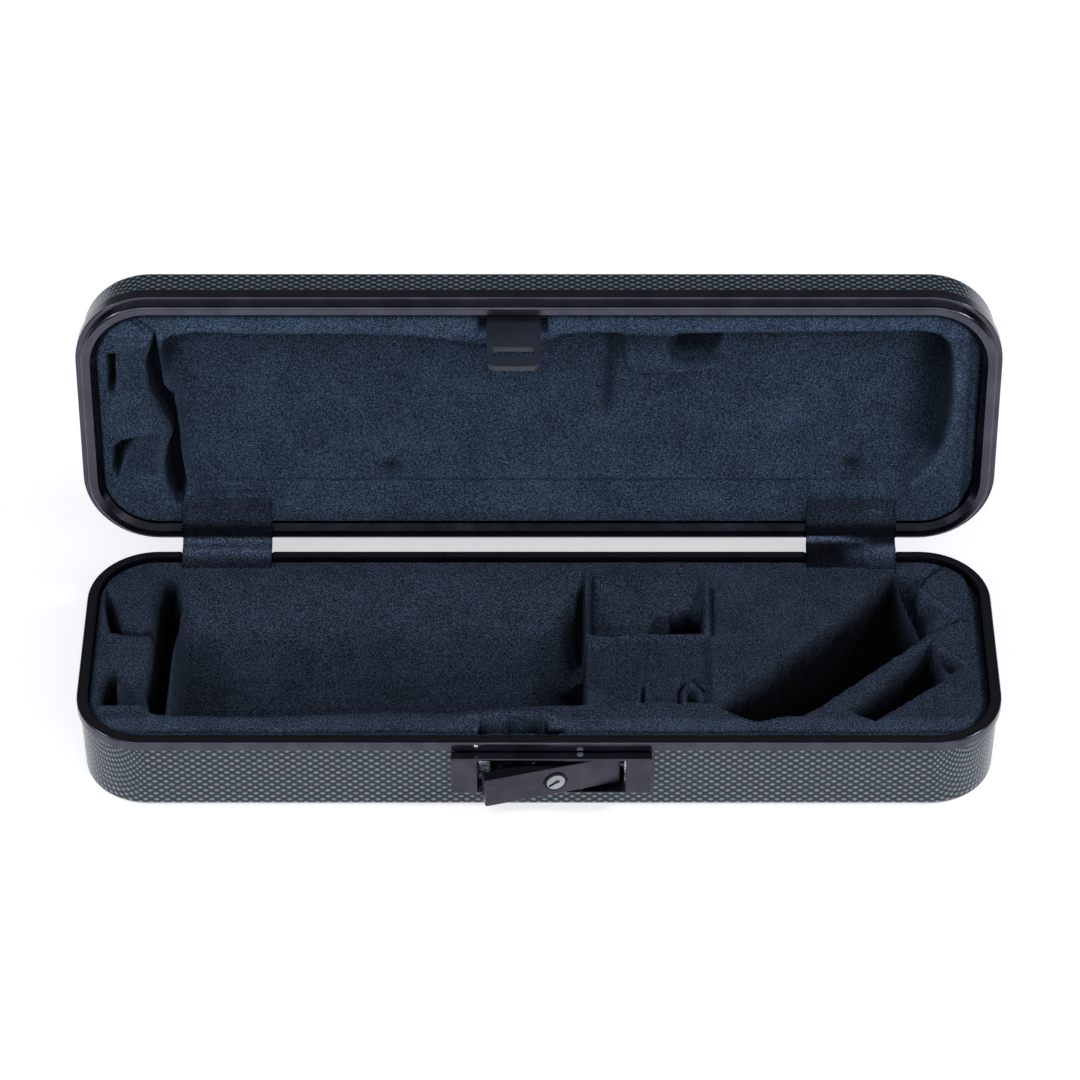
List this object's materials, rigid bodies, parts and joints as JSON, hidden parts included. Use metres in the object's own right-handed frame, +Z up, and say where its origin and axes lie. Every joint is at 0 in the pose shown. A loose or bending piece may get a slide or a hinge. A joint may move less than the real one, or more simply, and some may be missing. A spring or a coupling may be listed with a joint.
{
  "type": "oboe case",
  "caption": "Rigid oboe case with rounded patterned shells, metal rims, a padded fitted lining, rear hinges and a locking rocker latch, shown open.",
  "frame": {"origin": "centre of the tub's flat base", "axes": "+X along the case's length to the right as seen from the latch, +Y from latch to hinges, +Z up"},
  "size_m": [0.3546, 0.1623, 0.1453],
  "materials": {
    "shell": "gloss",
    "rim": "satin black",
    "gasket": "matte",
    "lining": "velvet",
    "latch_metal": "satin black",
    "bright_metal": "bright",
    "catch_metal": "satin black",
    "hinge_metal": "satin black"
  },
  "bodies": {
    "tub": {"tub_shell": "shell", "tub_rim": "rim", "rim_gasket": "gasket", "tub_insert_left": "lining", "tub_insert_middle": "lining", "tub_insert_right": "lining", "hinge_cover_lower_left": "lining", "hinge_cover_lower_right": "lining", "latch_plate": "latch_metal", "latch_housing": "bright_metal", "latch_spring": "bright_metal", "latch_pivot_pin": "bright_metal", "latch_rivets": "bright_metal", "rim_rivet": "bright_metal", "hinge_leaf_lower_left": "hinge_metal", "hinge_leaf_lower_right": "hinge_metal", "hinge_pin_left": "hinge_metal", "hinge_pin_right": "hinge_metal", "hinge_rivets_lower": "hinge_metal"},
    "lid": {"lid_shell": "shell", "lid_rim": "rim", "lid_insert_left": "lining", "lid_insert_middle": "lining", "lid_insert_right": "lining", "hinge_cover_upper_left": "lining", "hinge_cover_upper_right": "lining", "catch_block": "rim", "catch_screws": "bright_metal", "lid_catch": "catch_metal", "hinge_leaf_upper_left": "hinge_metal", "hinge_leaf_upper_right": "hinge_metal", "hinge_rivets_upper": "hinge_metal"},
    "lever": {"latch_lever": "latch_metal", "latch_hook": "bright_metal", "hook_rivets": "bright_metal", "lock_bezel": "latch_metal"},
    "lock": {"lock_plug": "bright_metal", "lock_cam": "bright_metal", "cam_screw": "bright_metal"}
  },
  "joints": [
    {"name": "lid_hinge", "type": "hinge", "parent": "tub", "child": "lid", "pos_m": [0, 0.0562, 0.0355], "axis": [1, 0, 0], "range_deg": [0, 98]},
    {"name": "latch_lever", "type": "hinge", "parent": "tub", "child": "lever", "pos_m": [0.0154, -0.0544, 0.0217], "axis": [0, 0, 1], "range_deg": [-14.5, 0], "stiffness_Nm_per_rad": 0.05},
    {"name": "lock_turn", "type": "hinge", "parent": "lever", "child": "lock", "pos_m": [0.00618, -0.05947, 0.0217], "axis": [0.2504, -0.9681, 0], "range_deg": [0, 90]}
  ]
}
